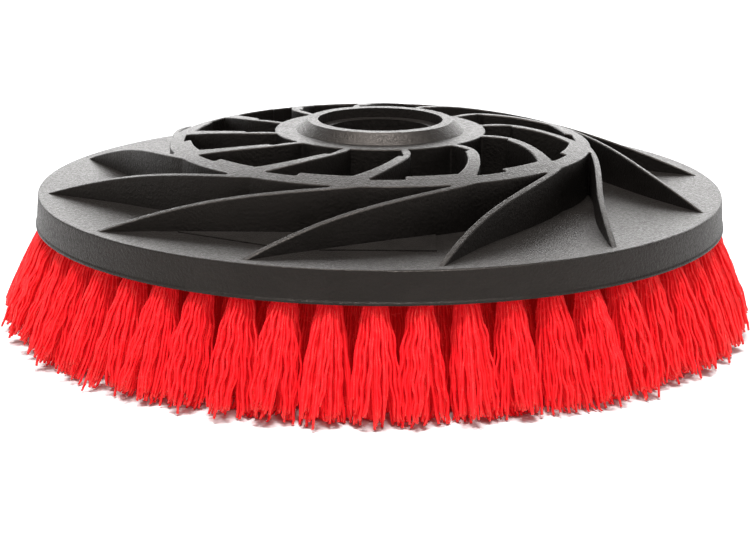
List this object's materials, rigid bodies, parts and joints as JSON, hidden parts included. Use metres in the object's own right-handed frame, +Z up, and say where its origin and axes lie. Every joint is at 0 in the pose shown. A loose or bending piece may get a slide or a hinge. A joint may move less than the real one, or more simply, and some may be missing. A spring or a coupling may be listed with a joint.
{
  "type": "rotary disc brush",
  "caption": "Round disc brush with a ribbed, domed plastic plate, a stepped central hub bore and rings of flared crimped-filament tufts.",
  "frame": {"origin": "on the spin axis at the level of the bristle tips, the middle of the footprint", "axes": "+Z up along the spin axis, from the bristle tips towards the hub"},
  "size_m": [0.269, 0.269, 0.0695],
  "materials": {
    "black_moulding": "satin black injection moulding with a fine grain",
    "bristle_outer": "bright red crimped filament",
    "bristle_inner": "bright red crimped filament",
    "anchor_wire": "flat drawn wire"
  },
  "bodies": {
    "root": {"anchors_row_1": "anchor_wire", "anchors_row_2": "anchor_wire", "anchors_row_3": "anchor_wire", "anchors_row_4": "anchor_wire", "anchors_row_5": "anchor_wire", "anchors_row_6": "anchor_wire", "brush_plate": "black_moulding", "tuft_row_1_quarter_1": "bristle_outer", "tuft_row_1_quarter_2": "bristle_outer", "tuft_row_1_quarter_3": "bristle_outer", "tuft_row_1_quarter_4": "bristle_outer", "tuft_row_2_quarter_1": "bristle_inner", "tuft_row_2_quarter_2": "bristle_inner", "tuft_row_2_quarter_3": "bristle_inner", "tuft_row_2_quarter_4": "bristle_inner", "tuft_row_3_quarter_1": "bristle_inner", "tuft_row_3_quarter_2": "bristle_inner", "tuft_row_3_quarter_3": "bristle_inner", "tuft_row_3_quarter_4": "bristle_inner", "tuft_row_4_quarter_1": "bristle_inner", "tuft_row_4_quarter_2": "bristle_inner", "tuft_row_4_quarter_3": "bristle_inner", "tuft_row_4_quarter_4": "bristle_inner", "tuft_row_5_quarter_1": "bristle_inner", "tuft_row_5_quarter_2": "bristle_inner", "tuft_row_5_quarter_3": "bristle_inner", "tuft_row_5_quarter_4": "bristle_inner", "tuft_row_6_quarter_1": "bristle_inner", "tuft_row_6_quarter_2": "bristle_inner", "tuft_row_6_quarter_3": "bristle_inner", "tuft_row_6_quarter_4": "bristle_inner"}
  },
  "joints": []
}
